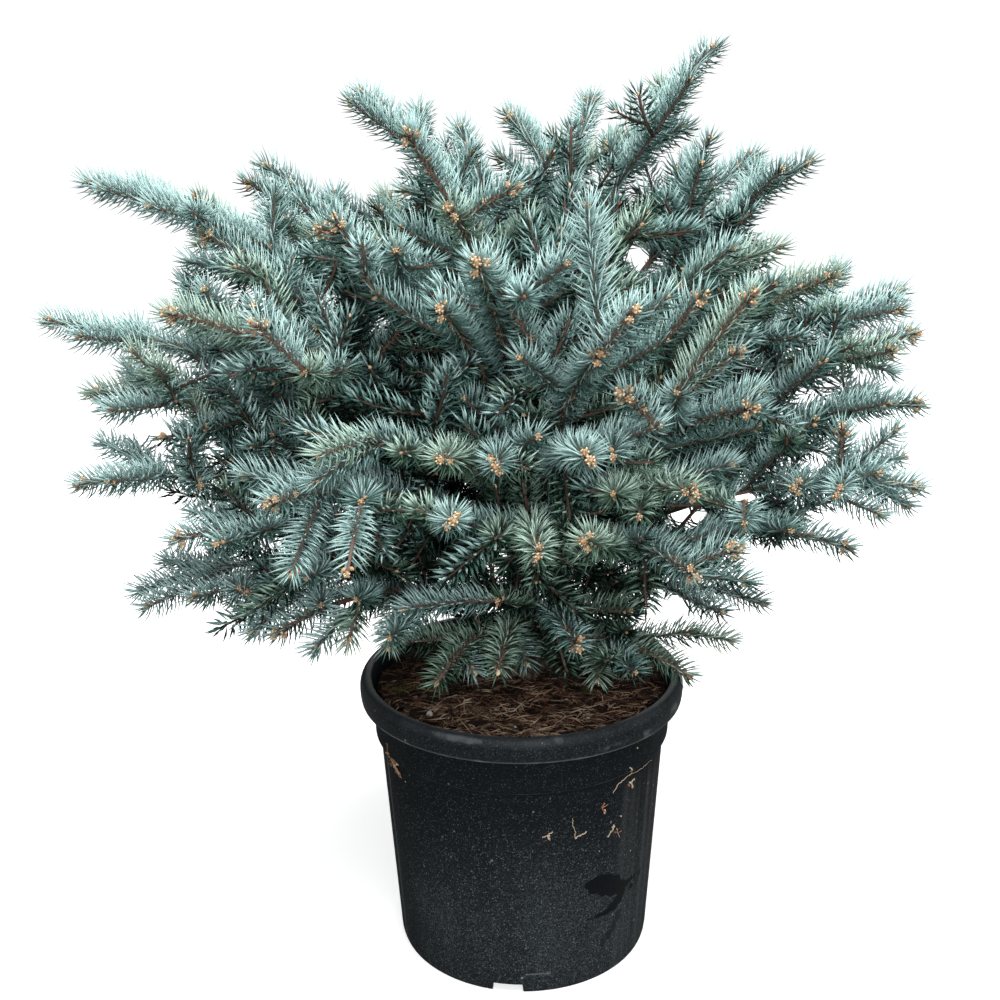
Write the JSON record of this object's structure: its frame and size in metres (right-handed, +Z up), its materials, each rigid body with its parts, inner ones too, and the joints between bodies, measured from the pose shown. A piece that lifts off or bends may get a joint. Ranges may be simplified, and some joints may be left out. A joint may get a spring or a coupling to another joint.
{
  "type": "potted shrub",
  "caption": "Dwarf blue spruce with a wide, bushy crown of stiff blue-green needles, in a round black nursery pot with a deep rim.",
  "frame": {"origin": "centre of the pot's flat underside, on the ground that it stands on", "axes": "+Z up along the pot's axis and towards the crown, -Y towards the front, +X to the right seen from the front"},
  "size_m": [0.8966, 0.7514, 0.9881],
  "materials": {
    "black_plastic": "slightly dusty matte black",
    "potting_soil": "loose bark mulch and needle litter",
    "bark": "rough brown bark",
    "blue_needles": "waxy blue-green needles"
  },
  "bodies": {
    "root": {"bough_lower_1": "bark", "bough_lower_2": "bark", "bough_middle_2": "bark", "bough_middle_3": "bark", "bough_middle_4": "bark", "bough_middle_5": "bark", "bough_top_1": "bark", "bough_upper_6": "bark", "needles_lower_1": "blue_needles", "needles_lower_10": "blue_needles", "needles_lower_11": "blue_needles", "needles_lower_12": "blue_needles", "needles_lower_2": "blue_needles", "needles_lower_3": "blue_needles", "needles_lower_4": "blue_needles", "needles_lower_5": "blue_needles", "needles_lower_6": "blue_needles", "needles_lower_7": "blue_needles", "needles_lower_8": "blue_needles", "needles_lower_9": "blue_needles", "needles_middle_1": "blue_needles", "needles_middle_10": "blue_needles", "needles_middle_2": "blue_needles", "needles_middle_3": "blue_needles", "needles_middle_4": "blue_needles", "needles_middle_5": "blue_needles", "needles_middle_6": "blue_needles", "needles_middle_7": "blue_needles", "needles_middle_8": "blue_needles", "needles_middle_9": "blue_needles", "needles_skirt_1": "blue_needles", "needles_skirt_10": "blue_needles", "needles_skirt_11": "blue_needles", "needles_skirt_12": "blue_needles", "needles_skirt_2": "blue_needles", "needles_skirt_3": "blue_needles", "needles_skirt_4": "blue_needles", "needles_skirt_5": "blue_needles", "needles_skirt_6": "blue_needles", "needles_skirt_7": "blue_needles", "needles_skirt_8": "blue_needles", "needles_skirt_9": "blue_needles", "needles_top_1": "blue_needles", "needles_top_2": "blue_needles", "needles_top_3": "blue_needles", "needles_top_4": "blue_needles", "needles_top_5": "blue_needles", "needles_upper_1": "blue_needles", "needles_upper_10": "blue_needles", "needles_upper_2": "blue_needles", "needles_upper_3": "blue_needles", "needles_upper_4": "blue_needles", "needles_upper_5": "blue_needles", "needles_upper_6": "blue_needles", "needles_upper_7": "blue_needles", "needles_upper_8": "blue_needles", "needles_upper_9": "blue_needles", "pot": "black_plastic", "soil": "potting_soil", "trunk": "bark"}
  },
  "joints": []
}
